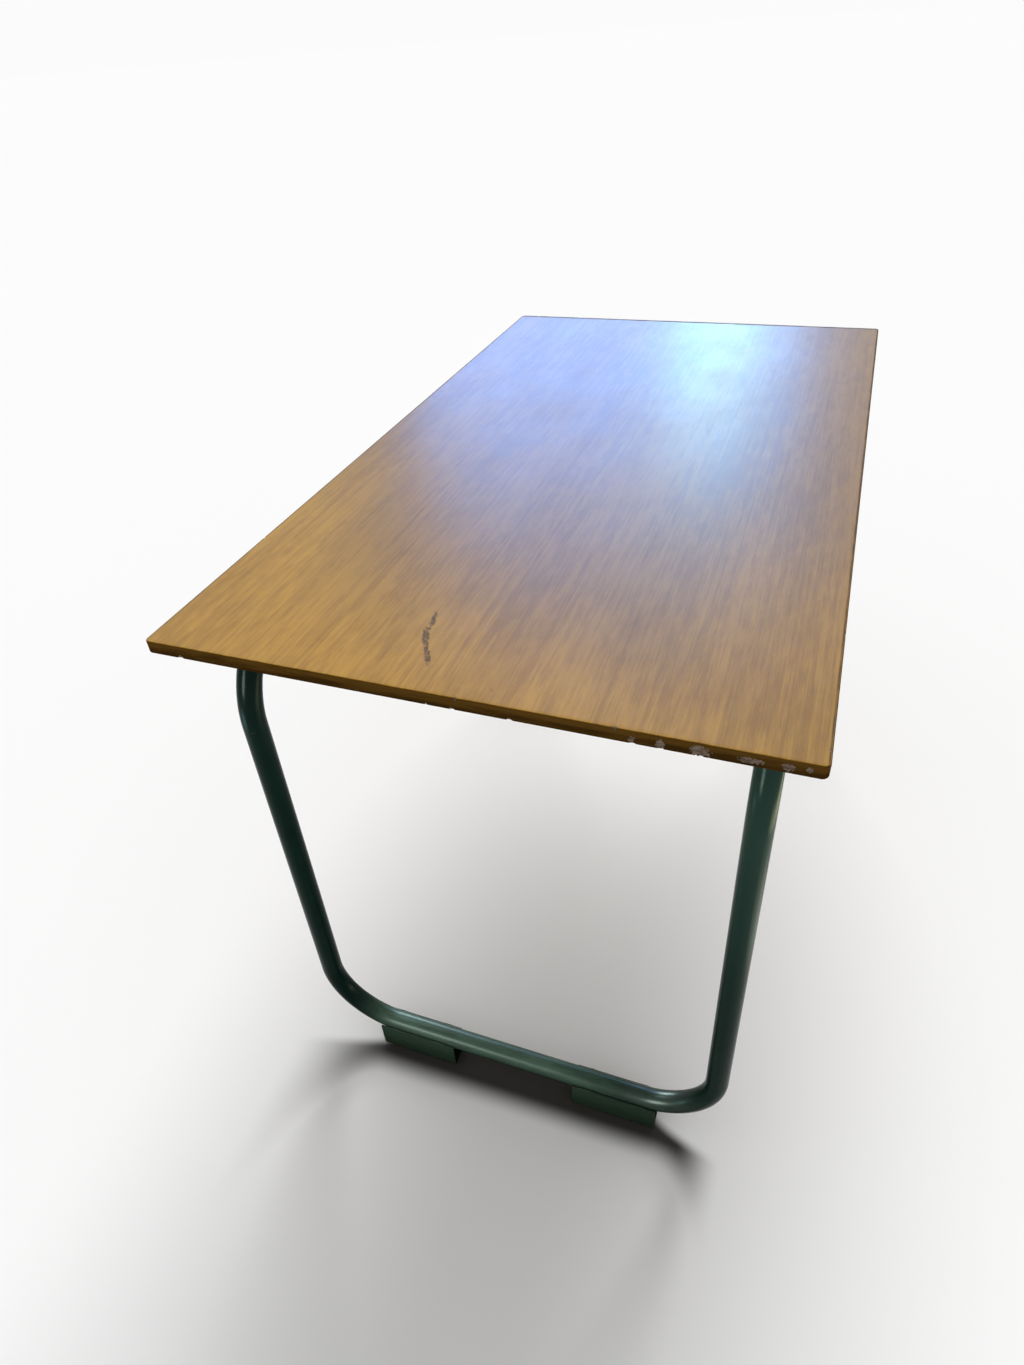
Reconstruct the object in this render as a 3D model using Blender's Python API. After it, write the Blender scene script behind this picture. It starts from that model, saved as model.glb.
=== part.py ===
"""Tubular steel desk: a thin veneered top carried by two bent-tube end frames.

Metres, +Z up. The origin is on the floor under the middle of the top. +X runs along the length, to the
near end, and -Y is the left side as seen from that end.
"""

import math

import bmesh
import bpy
from mathutils import Matrix, Vector

# Top: a core board, veneered on both faces and edged with mitred hardwood lippings
TOP_LENGTH = 1.120
TOP_WIDTH = 0.640
TOP_THICKNESS = 0.014
DESK_HEIGHT = 0.750
VENEER_THICKNESS = 0.001
LIPPING_DEPTH = 0.005
CORNER_RADIUS = 0.006
ARRIS_RADIUS = 0.0015

# End frames: one round tube each, bent at two knees under the top and two heels at the floor
TUBE_DIAMETER = 0.028
TUBE_WALL = 0.002
LEG_SETBACK = 0.063
RAIL_SETBACK = 0.045
KNEE_RADIUS = 0.120
HEEL_RADIUS = 0.098
FLOOR_GAP = 0.0325

# Foot shoes: folded sheet channels that cradle the floor rail
SHOE_SHEET = 0.0025
SHOE_FOLD_RADIUS = 0.003
SHOE_LENGTH = 0.115
SHOE_SETBACK = 0.129

# Spigots: inner sleeves that join the two frames in the middle of each side rail
SPIGOT_LENGTH = 0.120
SPIGOT_WALL = 0.002
SPIGOT_SCREW_SPACING = 0.060
SPIGOT_SCREW_DIAMETER = 0.0036
SPIGOT_SCREW_REACH = 0.007
SPIGOT_SCREW_HEAD_DIAMETER = 0.0072
SPIGOT_SCREW_HEAD_HEIGHT = 0.0024

# Cross ties: light tubes between the side rails, their ends cut to saddle the rails
TIE_DIAMETER = 0.020
TIE_WALL = 0.0015
TIE_SPACING = 0.480

# Fixing lugs: flat tabs on the inner side of the rails, each with one wood screw into the top
LUG_LENGTH = 0.036
LUG_REACH = 0.034
LUG_THICKNESS = 0.003
LUG_CORNER_RADIUS = 0.007
LUG_INNER_SPACING = 0.240
LUG_OUTER_SPACING = 0.680
LUG_SCREW_SETBACK = 0.012
LUG_SCREW_DIAMETER = 0.004
LUG_SCREW_BITE = 0.010
LUG_SCREW_HEAD_DIAMETER = 0.008
LUG_SCREW_HEAD_HEIGHT = 0.0028

# Gap between pieces that touch, and between a screw and its hole
CLEARANCE = 0.0003

# Facets
TUBE_SIDES = 20
BEND_STEPS = 8
SLEEVE_SIDES = 16
SCREW_SIDES = 12
CORNER_STEPS = 4
FOLD_STEPS = 3
ARRIS_STEPS = 2
SADDLE_STEPS = 4
DOME_STEPS = 3
SMOOTH_BELOW = math.radians(35)

# Places that follow from the sizes
UNDERSIDE_Z = DESK_HEIGHT - TOP_THICKNESS
TUBE_RADIUS = TUBE_DIAMETER / 2
RAIL_Z = UNDERSIDE_Z - CLEARANCE - TUBE_RADIUS
FLOOR_RAIL_Z = FLOOR_GAP + TUBE_RADIUS
LEG_X = TOP_LENGTH / 2 - LEG_SETBACK
RAIL_Y = TOP_WIDTH / 2 - RAIL_SETBACK
SHOE_Y = RAIL_Y - SHOE_SETBACK
SADDLE_RADIUS = TUBE_RADIUS + CLEARANCE
PANEL_LENGTH = TOP_LENGTH - 2 * (LIPPING_DEPTH + CLEARANCE)
PANEL_WIDTH = TOP_WIDTH - 2 * (LIPPING_DEPTH + CLEARANCE)
LUG_TOP_Z = UNDERSIDE_Z - CLEARANCE
LUG_SEAT_Z = LUG_TOP_Z - LUG_THICKNESS - CLEARANCE
LUG_SCREW_Y = RAIL_Y - LUG_REACH + LUG_SCREW_SETBACK
LUG_SCREW_REACH = UNDERSIDE_Z + LUG_SCREW_BITE - LUG_SEAT_Z
SPIGOT_SEAT_Z = RAIL_Z - TUBE_RADIUS - CLEARANCE
SPIGOT_DIAMETER = TUBE_DIAMETER - 2 * (TUBE_WALL + CLEARANCE)

ENDS = (("near", 1), ("far", -1))
SIDES = (("left", -1), ("right", 1))
LUG_ROWS = (("outer", LUG_OUTER_SPACING / 2), ("inner", LUG_INNER_SPACING / 2))

# Finishes: base colour, roughness, metallic
VENEER = ((0.44, 0.26, 0.095, 1.0), 0.30, 0.0)
BACKING = ((0.40, 0.27, 0.14, 1.0), 0.60, 0.0)
LIPPING = ((0.085, 0.045, 0.022, 1.0), 0.45, 0.0)
CORE_BOARD = ((0.58, 0.46, 0.30, 1.0), 0.85, 0.0)
GREEN_ENAMEL = ((0.022, 0.068, 0.050, 1.0), 0.25, 0.0)
BARE_STEEL = ((0.42, 0.41, 0.39, 1.0), 0.45, 1.0)
ZINC = ((0.60, 0.59, 0.55, 1.0), 0.40, 1.0)


def clear_scene():
    for obj in list(bpy.data.objects):
        bpy.data.objects.remove(obj, do_unlink=True)


def new_material(name, finish):
    colour, roughness, metallic = finish
    material = bpy.data.materials.new(name)
    material.use_nodes = True
    shader = material.node_tree.nodes["Principled BSDF"]
    shader.inputs["Base Color"].default_value = colour
    shader.inputs["Roughness"].default_value = roughness
    shader.inputs["Metallic"].default_value = metallic
    return material


def finish_mesh(bm, name):
    """Turns a bmesh into a mesh with its faces out, smooth except at sharp edges."""
    bmesh.ops.recalc_face_normals(bm, faces=bm.faces)
    mesh = bpy.data.meshes.new(name)
    bm.to_mesh(mesh)
    bm.free()
    mesh.shade_smooth()
    mesh.set_sharp_from_angle(angle=SMOOTH_BELOW)
    return mesh


def add_piece(name, mesh, finish, parent, location=(0, 0, 0), turn=0.0):
    """Adds a piece of the desk with its own material, turned about +Z and then moved."""
    mesh.materials.append(new_material(name, finish))
    piece = bpy.data.objects.new(name, mesh)
    bpy.context.scene.collection.objects.link(piece)
    piece.location = location
    piece.rotation_euler.z = turn
    piece.parent = parent
    return piece


def arc(centre, radius, start, end, steps):
    """Points along an arc in a plane, from one angle to another, in degrees."""
    angles = [math.radians(start + (end - start) * i / steps) for i in range(steps + 1)]
    return [(centre[0] + radius * math.cos(a), centre[1] + radius * math.sin(a)) for a in angles]


def extrude_outline(bm, corners, depth):
    """Fills a closed outline of 3-D corners and extrudes it by the vector depth."""
    face = bm.faces.new([bm.verts.new(corner) for corner in corners])
    extruded = bmesh.ops.extrude_face_region(bm, geom=[face])["geom"]
    moved = [item for item in extruded if isinstance(item, bmesh.types.BMVert)]
    bmesh.ops.translate(bm, verts=moved, vec=depth)


def box_mesh(name, size):
    bm = bmesh.new()
    bmesh.ops.create_cube(bm, size=1.0)
    bmesh.ops.scale(bm, verts=bm.verts, vec=size)
    return finish_mesh(bm, name)


def tube_section(bm, frame, diameter, wall, sides):
    """The ring of faces of a tube's cut end, in the XY plane of the given frame."""
    angles = [2 * math.pi * i / sides for i in range(sides)]
    rims = [[bm.verts.new(frame @ Vector((radius * math.cos(a), radius * math.sin(a), 0))) for a in angles]
            for radius in (diameter / 2, diameter / 2 - wall)]
    outer, inner = rims
    return [bm.faces.new((outer[i - 1], outer[i], inner[i], inner[i - 1])) for i in range(sides)]


def grow(bm, section, motion):
    """Extrudes a section, moves its new end and returns that end's faces, leaving none inside the wall."""
    grown = bmesh.ops.extrude_face_region(bm, geom=section)["geom"]
    moved = [item for item in grown if isinstance(item, bmesh.types.BMVert)]
    bmesh.ops.transform(bm, matrix=motion, verts=moved)
    inside = any(len(edge.link_faces) > 2 for face in section for edge in face.edges)
    if inside:
        bmesh.ops.delete(bm, geom=section, context="FACES")
    return [item for item in grown if isinstance(item, bmesh.types.BMFace)]


def bent_tube_mesh(name, start, heading, runs, diameter, wall, sides):
    """Feeds a tube section along straight runs and around bends, as a tube bender does.

    Each run is a straight length, then the heading after the bend and the bend's centre-line radius.
    The last run has no bend.
    """
    bm = bmesh.new()
    place, heading = Vector(start), Vector(heading)
    frame = Matrix.Translation(place) @ heading.to_track_quat("Z", "Y").to_matrix().to_4x4()
    section = tube_section(bm, frame, diameter, wall, sides)
    for length, turned, radius in runs:
        section = grow(bm, section, Matrix.Translation(heading * length))
        place += heading * length
        if turned is None:
            continue
        turned = Vector(turned)
        centre = Matrix.Translation(place + turned * radius)
        step = Matrix.Rotation(heading.angle(turned) / BEND_STEPS, 4, heading.cross(turned))
        for _ in range(BEND_STEPS):
            section = grow(bm, section, centre @ step @ centre.inverted())
        place += (heading + turned) * radius
        heading = turned
    return finish_mesh(bm, name)


def end_frame_mesh(name):
    """The frame at the near end: side rail, knee, leg, heel, floor rail and back up the other side."""
    start = (CLEARANCE / 2, -RAIL_Y, RAIL_Z)
    rail = LEG_X - KNEE_RADIUS - CLEARANCE / 2
    leg = RAIL_Z - KNEE_RADIUS - FLOOR_RAIL_Z - HEEL_RADIUS
    floor_rail = 2 * (RAIL_Y - HEEL_RADIUS)
    runs = (
        (rail, (0, 0, -1), KNEE_RADIUS),
        (leg, (0, 1, 0), HEEL_RADIUS),
        (floor_rail, (0, 0, 1), HEEL_RADIUS),
        (leg, (-1, 0, 0), KNEE_RADIUS),
        (rail, None, None),
    )
    return bent_tube_mesh(name, start, (1, 0, 0), runs, TUBE_DIAMETER, TUBE_WALL, TUBE_SIDES)


def spigot_mesh(name):
    start = (-SPIGOT_LENGTH / 2, 0, 0)
    runs = ((SPIGOT_LENGTH, None, None),)
    return bent_tube_mesh(name, start, (1, 0, 0), runs, SPIGOT_DIAMETER, SPIGOT_WALL, SLEEVE_SIDES)


def cross_tie_mesh(name):
    """A tube from rail to rail whose ends follow the rails' round sides."""
    start = (0, -RAIL_Y, 0)
    runs = ((2 * RAIL_Y, None, None),)
    mesh = bent_tube_mesh(name, start, (0, 1, 0), runs, TIE_DIAMETER, TIE_WALL, SLEEVE_SIDES)
    for vert in mesh.vertices:
        reach = RAIL_Y - math.sqrt(SADDLE_RADIUS**2 - vert.co.z**2)
        vert.co.y = math.copysign(reach, vert.co.y)
    return mesh


def lug_mesh(name):
    """A tab at the right-hand rail: one edge saddles the tube, and the free corners are rounded.

    The rail's axis is at the mesh's origin, and the tab points to -Y.
    """
    top = LUG_TOP_Z - RAIL_Z
    bottom = top - LUG_THICKNESS
    angles = [180 - math.degrees(math.asin(height / SADDLE_RADIUS)) for height in (top, bottom)]
    outline = arc((0, 0), SADDLE_RADIUS, angles[0], angles[1], SADDLE_STEPS)
    outline += [(-LUG_REACH, bottom), (-LUG_REACH, top)]
    bm = bmesh.new()
    corners = [(-LUG_LENGTH / 2, y, z) for y, z in outline]
    extrude_outline(bm, corners, (LUG_LENGTH, 0, 0))
    free_corners = [edge for edge in bm.edges
                    if all(abs(vert.co.y + LUG_REACH) < CLEARANCE for vert in edge.verts)
                    and abs(edge.verts[0].co.x - edge.verts[1].co.x) < CLEARANCE]
    bmesh.ops.bevel(bm, geom=free_corners, offset=LUG_CORNER_RADIUS, segments=CORNER_STEPS,
                    profile=0.5, affect="EDGES", material=-1)
    return finish_mesh(bm, name)


def shoe_mesh(name):
    """A channel folded from sheet, open at both ends, whose walls reach the middle of the tube."""
    inside = SADDLE_RADIUS
    outside = inside + SHOE_SHEET
    height = FLOOR_RAIL_Z
    fold = SHOE_FOLD_RADIUS
    outer_fold = fold + SHOE_SHEET
    outline = [(-outside, height)]
    outline += arc((outer_fold - outside, outer_fold), outer_fold, 180, 270, FOLD_STEPS)
    outline += arc((outside - outer_fold, outer_fold), outer_fold, 270, 360, FOLD_STEPS)
    outline += [(outside, height), (inside, height)]
    outline += arc((inside - fold, outer_fold), fold, 360, 270, FOLD_STEPS)
    outline += arc((fold - inside, outer_fold), fold, 270, 180, FOLD_STEPS)
    outline += [(-inside, height)]
    bm = bmesh.new()
    corners = [(x, -SHOE_LENGTH / 2, z) for x, z in outline]
    extrude_outline(bm, corners, (0, SHOE_LENGTH, 0))
    return finish_mesh(bm, name)


def screw_mesh(name, diameter, reach, head_diameter, head_height):
    """A dome-headed screw that points up: its head's seat is at the origin, and its tip is a cone."""
    head = [(head_diameter / 2 * math.sin(a), -head_height * math.cos(a))
            for a in (math.pi / 2 * i / DOME_STEPS for i in range(DOME_STEPS + 1))]
    radius = diameter / 2
    profile = head + [(radius, 0), (radius, reach - diameter), (0, reach)]
    bm = bmesh.new()
    verts = [bm.verts.new((r, 0, z)) for r, z in profile]
    edges = [bm.edges.new(pair) for pair in zip(verts, verts[1:])]
    bmesh.ops.spin(bm, geom=verts + edges, cent=(0, 0, 0), axis=(0, 0, 1), angle=2 * math.pi,
                   steps=SCREW_SIDES, use_merge=True)
    bmesh.ops.remove_doubles(bm, verts=bm.verts, dist=CLEARANCE / 10)
    return finish_mesh(bm, name)


def lipping_mesh(name, length, width):
    """The mitred edge strip at +X of a top of this length and width, its middle height at the origin.

    The outer corners are rounded up to the mitres, and the outer arrises are eased.
    """
    mitre_gap = math.degrees(math.asin(CLEARANCE / 2 / CORNER_RADIUS))
    corner = (length / 2 - CORNER_RADIUS, width / 2 - CORNER_RADIUS)
    right = arc(corner, CORNER_RADIUS, 0, 45 - mitre_gap, CORNER_STEPS)
    left = [(x, -y) for x, y in reversed(right)]
    inner_x = length / 2 - LIPPING_DEPTH
    inner_y = width / 2 - LIPPING_DEPTH - CLEARANCE / math.sqrt(2)
    outer = left + right
    outline = outer + [(inner_x, inner_y), (inner_x, -inner_y)]
    bm = bmesh.new()
    corners = [(x, y, -TOP_THICKNESS / 2) for x, y in outline]
    extrude_outline(bm, corners, (0, 0, TOP_THICKNESS))
    on_outside = [edge for edge in bm.edges
                  if abs(edge.verts[0].co.z - edge.verts[1].co.z) < CLEARANCE
                  and all(any(math.dist(vert.co.xy, point) < CLEARANCE / 2 for point in outer)
                          for vert in edge.verts)]
    bmesh.ops.bevel(bm, geom=on_outside, offset=ARRIS_RADIUS, segments=ARRIS_STEPS,
                    profile=0.5, affect="EDGES", material=-1)
    return finish_mesh(bm, name)


def add_cutter(name, places, diameter, bottom, top):
    """Round cutters of one diameter, one at each place, from the bottom height to the top height."""
    bm = bmesh.new()
    for x, y in places:
        middle = Matrix.Translation((x, y, (bottom + top) / 2))
        bmesh.ops.create_cone(bm, cap_ends=True, segments=SCREW_SIDES, radius1=diameter / 2,
                              radius2=diameter / 2, depth=top - bottom, matrix=middle)
    cutter = bpy.data.objects.new(name, finish_mesh(bm, name))
    bpy.context.scene.collection.objects.link(cutter)
    cutter.hide_render = True
    cutter.display_type = "WIRE"
    return cutter


def drill(piece, cutter):
    cut = piece.modifiers.new(cutter.name, "BOOLEAN")
    cut.operation = "DIFFERENCE"
    cut.solver = "EXACT"
    cut.object = cutter


def add_top(parent, lug_holes):
    core_thickness = TOP_THICKNESS - 2 * (VENEER_THICKNESS + CLEARANCE)
    middle_z = DESK_HEIGHT - TOP_THICKNESS / 2
    layers = (
        ("top_core", core_thickness, middle_z, CORE_BOARD),
        ("top_face_veneer", VENEER_THICKNESS, DESK_HEIGHT - VENEER_THICKNESS / 2, VENEER),
        ("top_backing_veneer", VENEER_THICKNESS, UNDERSIDE_Z + VENEER_THICKNESS / 2, BACKING),
    )
    for name, thickness, z, finish in layers:
        mesh = box_mesh(name, (PANEL_LENGTH, PANEL_WIDTH, thickness))
        layer = add_piece(name, mesh, finish, parent, (0, 0, z))
        if name != "top_face_veneer":
            drill(layer, lug_holes)
    edges = (
        ("lipping_near_end", TOP_LENGTH, TOP_WIDTH, 0),
        ("lipping_right_side", TOP_WIDTH, TOP_LENGTH, math.pi / 2),
        ("lipping_far_end", TOP_LENGTH, TOP_WIDTH, math.pi),
        ("lipping_left_side", TOP_WIDTH, TOP_LENGTH, -math.pi / 2),
    )
    for name, length, width, turn in edges:
        add_piece(name, lipping_mesh(name, length, width), LIPPING, parent, (0, 0, middle_z), turn)


def add_frames(parent, spigot_holes):
    for end, sign in ENDS:
        name = f"end_frame_{end}"
        turn = 0 if sign > 0 else math.pi
        frame = add_piece(name, end_frame_mesh(name), GREEN_ENAMEL, parent, turn=turn)
        drill(frame, spigot_holes)
        tie = f"cross_tie_{end}"
        place = (sign * TIE_SPACING / 2, 0, RAIL_Z)
        add_piece(tie, cross_tie_mesh(tie), GREEN_ENAMEL, parent, place)


def add_shoes(parent):
    for end, along in ENDS:
        for side, across in SIDES:
            name = f"foot_shoe_{end}_{side}"
            place = (along * LEG_X, across * SHOE_Y, 0)
            add_piece(name, shoe_mesh(name), GREEN_ENAMEL, parent, place)


def add_spigots(parent, spigot_holes):
    for side, across in SIDES:
        name = f"rail_spigot_{side}"
        spigot = add_piece(name, spigot_mesh(name), BARE_STEEL, parent, (0, across * RAIL_Y, RAIL_Z))
        drill(spigot, spigot_holes)
        for end, along in ENDS:
            screw = f"spigot_screw_{end}_{side}"
            mesh = screw_mesh(screw, SPIGOT_SCREW_DIAMETER, SPIGOT_SCREW_REACH,
                              SPIGOT_SCREW_HEAD_DIAMETER, SPIGOT_SCREW_HEAD_HEIGHT)
            place = (along * SPIGOT_SCREW_SPACING / 2, across * RAIL_Y, SPIGOT_SEAT_Z)
            add_piece(screw, mesh, ZINC, parent, place)


def add_lugs(parent, lug_holes):
    for end, along in ENDS:
        for side, across in SIDES:
            for row, offset in LUG_ROWS:
                name = f"fixing_lug_{end}_{side}_{row}"
                turn = 0 if across > 0 else math.pi
                place = (along * offset, across * RAIL_Y, RAIL_Z)
                lug = add_piece(name, lug_mesh(name), GREEN_ENAMEL, parent, place, turn)
                drill(lug, lug_holes)
                screw = f"lug_screw_{end}_{side}_{row}"
                mesh = screw_mesh(screw, LUG_SCREW_DIAMETER, LUG_SCREW_REACH,
                                  LUG_SCREW_HEAD_DIAMETER, LUG_SCREW_HEAD_HEIGHT)
                add_piece(screw, mesh, ZINC, parent, (along * offset, across * LUG_SCREW_Y, LUG_SEAT_Z))


def build_desk():
    clear_scene()
    desk = bpy.data.objects.new("desk", None)
    bpy.context.scene.collection.objects.link(desk)
    lug_places = [(along * offset, across * LUG_SCREW_Y)
                  for _, along in ENDS for _, across in SIDES for _, offset in LUG_ROWS]
    lug_holes = add_cutter("lug_screw_holes", lug_places, LUG_SCREW_DIAMETER + 2 * CLEARANCE,
                           LUG_SEAT_Z - LUG_THICKNESS, LUG_SEAT_Z + LUG_SCREW_REACH + CLEARANCE)
    spigot_places = [(along * SPIGOT_SCREW_SPACING / 2, across * RAIL_Y)
                     for _, along in ENDS for _, across in SIDES]
    spigot_holes = add_cutter("spigot_screw_holes", spigot_places, SPIGOT_SCREW_DIAMETER + 2 * CLEARANCE,
                              SPIGOT_SEAT_Z - TUBE_WALL, RAIL_Z)
    add_top(desk, lug_holes)
    add_frames(desk, spigot_holes)
    add_shoes(desk)
    add_spigots(desk, spigot_holes)
    add_lugs(desk, lug_holes)


build_desk()
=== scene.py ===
"""Looks of the tubular steel desk: a varnished veneer top on dark green enamelled end frames.

Metres, +Z up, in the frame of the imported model: +X runs along the top to the near end, and -Y is
the left side as seen from that end.
"""

import math
import random

import bmesh
import bpy
from mathutils import Matrix, Vector, noise


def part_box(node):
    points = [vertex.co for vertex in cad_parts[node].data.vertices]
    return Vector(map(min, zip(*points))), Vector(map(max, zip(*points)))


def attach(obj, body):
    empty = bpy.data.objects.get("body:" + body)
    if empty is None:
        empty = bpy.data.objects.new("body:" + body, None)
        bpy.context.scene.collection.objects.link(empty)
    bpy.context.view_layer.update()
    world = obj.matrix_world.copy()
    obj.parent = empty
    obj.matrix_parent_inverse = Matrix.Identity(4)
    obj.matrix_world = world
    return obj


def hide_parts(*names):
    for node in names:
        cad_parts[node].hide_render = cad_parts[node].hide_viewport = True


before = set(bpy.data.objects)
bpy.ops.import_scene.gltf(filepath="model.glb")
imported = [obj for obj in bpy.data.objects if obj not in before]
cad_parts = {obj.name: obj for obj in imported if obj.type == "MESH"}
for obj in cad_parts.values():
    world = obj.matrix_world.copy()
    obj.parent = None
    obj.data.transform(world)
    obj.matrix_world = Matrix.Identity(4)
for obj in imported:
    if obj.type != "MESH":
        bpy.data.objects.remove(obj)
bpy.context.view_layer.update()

BODY = "root"
STARTUP_OBJECTS = ("Cube", "Light", "Camera")
ENDS = (("near", 1), ("far", -1))
SIDES = (("left", -1), ("right", 1))
LUG_ROWS = ("outer", "inner")
ORIGIN = (0, 0, 0)
ALONG = Vector((1, 0, 0))
ACROSS = Vector((0, 1, 0))
UP = Vector((0, 0, 1))

# Tubes, bends and sheet, as in the solids
TUBE_RADIUS = 0.014
TUBE_WALL = 0.002
TIE_WALL = 0.0015
KNEE_RADIUS = 0.120
HEEL_RADIUS = 0.098
SHOE_SHEET = 0.0025
SHOE_FOLD = 0.0055
LUG_CORNER = 0.007
SADDLE_GAP = 0.0003

# Places read from the frame
near_low, near_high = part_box("end_frame_near")
LEG_X = near_high.x - TUBE_RADIUS
RAIL_Y = near_high.y - TUBE_RADIUS
RAIL_Z = near_high.z - TUBE_RADIUS
FLOOR_RAIL_Z = near_low.z + TUBE_RADIUS
RAIL_END_X = near_low.x
SADDLE_RADIUS = TUBE_RADIUS + SADDLE_GAP
TOP_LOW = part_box("lipping_left_side")[0].z
TOP_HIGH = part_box("lipping_left_side")[1].z
TOP_THICKNESS = TOP_HIGH - TOP_LOW
TOP_HALF_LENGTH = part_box("lipping_near_end")[1].x
TOP_HALF_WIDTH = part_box("lipping_right_side")[1].y
LIPPING_DEPTH = TOP_HALF_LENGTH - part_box("top_face_veneer")[1].x

# Facets of the finer pieces, and the easing of their edges
TUBE_SIDES = 56
BEND_STEPS = 28
TIE_SIDES = 40
FOLD_STEPS = 6
SCREW_SIDES = 32
DOME_STEPS = 6
SHOE_STEPS = 24
CORNER_STEPS = 8
ROUND_PROFILE = 0.5
EDGE_EASE = 0.0004
EASE_STEPS = 2
SHARP_ANGLE = math.radians(50)
SMOOTH_BELOW = math.radians(40)
MERGE_DISTANCE = 1e-6

# Weld beads. A bead's ripples start from its place times a factor, so that no two look alike
BEAD_SIDES = 10
BEAD_STEP = 0.0012
BEAD_RIPPLE = 0.16
RIPPLE_PITCH = 0.9
BEAD_TAPER = 0.35
TAPER_LEAD = 0.4
SEAM_DISTANCE = 2e-5
SHOE_BEAD_RADIUS = 0.0013
SHOE_BEAD_LENGTH = 0.024
SHOE_BEAD_PLACES = (-0.036, 0.036)
SHOE_RIPPLES_ALONG = 91
SHOE_RIPPLES_ACROSS = 37
LUG_BEAD_RADIUS = 0.0020
LUG_RIPPLES = 71
TIE_BEAD_RADIUS = 0.0018
TIE_BEAD_STEPS = 120
TIE_RIPPLES = 53

# Dome-headed screws: shares of the head's radius, then of its height, and the seed of their turns
HEAD_HEIGHT_SHARE = 0.68
SHANK_SHARE = 0.5
SLOT_HALF_WIDTH_SHARE = 0.16
SLOT_DEPTH_SHARE = 0.45
DOME_SHARE = 0.9
SCREW_SEED = 4

# Lippings: eased arrises and rounded corners
CORNER_RADIUS = 0.006
ARRIS_RADIUS = 0.0013
ARRIS_STEPS = 4
LIPPING_STEP = 0.0010
FACE_STEPS = 10
MITRE_ANGLE = math.pi / 4

# Chips on the near edge: place across, half length, height on the face and half height, with the
# heights as shares of the face
NEAR_CHIPS = (
    (0.1665, 0.0026, 0.30, 0.30),
    (0.1900, 0.0034, 0.34, 0.40),
    (0.2218, 0.0074, 0.36, 0.42),
    (0.2610, 0.0105, 0.40, 0.20),
    (0.2895, 0.0046, 0.42, 0.26),
    (0.3055, 0.0022, 0.50, 0.20),
)

# Small chips strewn along every edge, and the ragged outline and floor of all chips
SMALL_CHIPS_PER_METRE = 12
SMALL_CHIP_HALF_LENGTH = (0.0008, 0.0030)
SMALL_CHIP_HEIGHTS = (0.04, 0.08, 0.9, 0.97)
SMALL_CHIP_HALF_HEIGHT = (0.05, 0.16)
CHIP_DEPTH = 0.0016
CHIP_RAGGED = 0.60
CHIP_LUMPS_ALONG = 560
CHIP_LUMPS_UP = 6
CHIP_SLICE = 3.0
CHIP_FRACTAL = (0.8, 2.0, 4)
CHIP_BRINK = 1.12
CHIP_SLOPE = 0.24
CHIP_FLOOR = 0.7
CHIP_FLOOR_UNEVEN = 0.3
CHIP_FLOOR_LUMPS = 900

# Photograph's camera: place, turn about X, Y and Z in degrees, and lens on a 36 mm tall picture
CAMERA_PLACE = (1.0787, 0.2822, 1.2140)
CAMERA_TURN = (52.158, 3.489, 109.943)
CAMERA_LENS = 22.845


def verts_of(items):
    return [item for item in items if isinstance(item, bmesh.types.BMVert)]


def edges_of(items):
    return [item for item in items if isinstance(item, bmesh.types.BMEdge)]


def ends_of(edges):
    """The vertices of some edges, each once."""
    return list(dict.fromkeys(vert for edge in edges for vert in edge.verts))


def rise_of(edge):
    """How far an edge climbs from one end to the other."""
    return abs(edge.verts[0].co.z - edge.verts[1].co.z)


def sharp_edges(bm):
    return [edge for edge in bm.edges if edge.is_manifold and edge.calc_face_angle() > SHARP_ANGLE]


def round_edges(bm, edges, radius, steps):
    """Rounds some edges and returns the new vertices."""
    rounded = bmesh.ops.bevel(bm, geom=edges, offset=radius, segments=steps, profile=ROUND_PROFILE,
                              affect="EDGES", material=-1)
    return rounded["verts"]


def ease_edges(bm):
    """Rounds the sharp edges a little and marks them as worn."""
    worn = bm.verts.layers.float.new("worn")
    for vert in round_edges(bm, sharp_edges(bm), EDGE_EASE, EASE_STEPS):
        vert[worn] = 1.0


def turn_about_z(bm, angle, centre=ORIGIN):
    bmesh.ops.rotate(bm, verts=bm.verts, cent=centre, matrix=Matrix.Rotation(angle, 3, "Z"))


def merge_outwards(bm):
    """Merges the doubles and turns the faces outwards."""
    bmesh.ops.remove_doubles(bm, verts=bm.verts, dist=MERGE_DISTANCE)
    bmesh.ops.recalc_face_normals(bm, faces=bm.faces)


def give_wall(bm, thickness):
    """Turns an open skin into a wall whose outside stays where it is."""
    merge_outwards(bm)
    bmesh.ops.solidify(bm, geom=bm.faces[:], thickness=thickness)


def add_piece(bm, name, finish, slot, *nodes):
    """Makes a bmesh a piece of the desk that stands for the named CAD nodes."""
    merge_outwards(bm)
    mesh = bpy.data.meshes.new(name)
    bm.to_mesh(mesh)
    bm.free()
    mesh.shade_smooth()
    mesh.set_sharp_from_angle(angle=SMOOTH_BELOW)
    mesh.materials.append(finish)
    piece = bpy.data.objects.new(name, mesh)
    bpy.context.scene.collection.objects.link(piece)
    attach(piece, BODY)
    if nodes:
        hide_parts(*nodes)
    return piece


def frame_at(place, heading):
    """A frame at a place, with its Z axis along the heading."""
    return Matrix.Translation(place) @ heading.to_track_quat("Z", "Y").to_matrix().to_4x4()


def ring_in(bm, matrix, radius, sides):
    """A ring of edges around a frame's Z axis."""
    circle = bmesh.ops.create_circle(bm, segments=sides, radius=radius, matrix=matrix)
    return list(dict.fromkeys(edge for vert in circle["verts"] for edge in vert.link_edges))


def feed(bm, ring, motion):
    """Draws a ring on by a motion and returns the new ring."""
    drawn = bmesh.ops.extrude_edge_only(bm, edges=ring)["geom"]
    bmesh.ops.transform(bm, matrix=motion, verts=verts_of(drawn))
    return edges_of(drawn)


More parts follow.
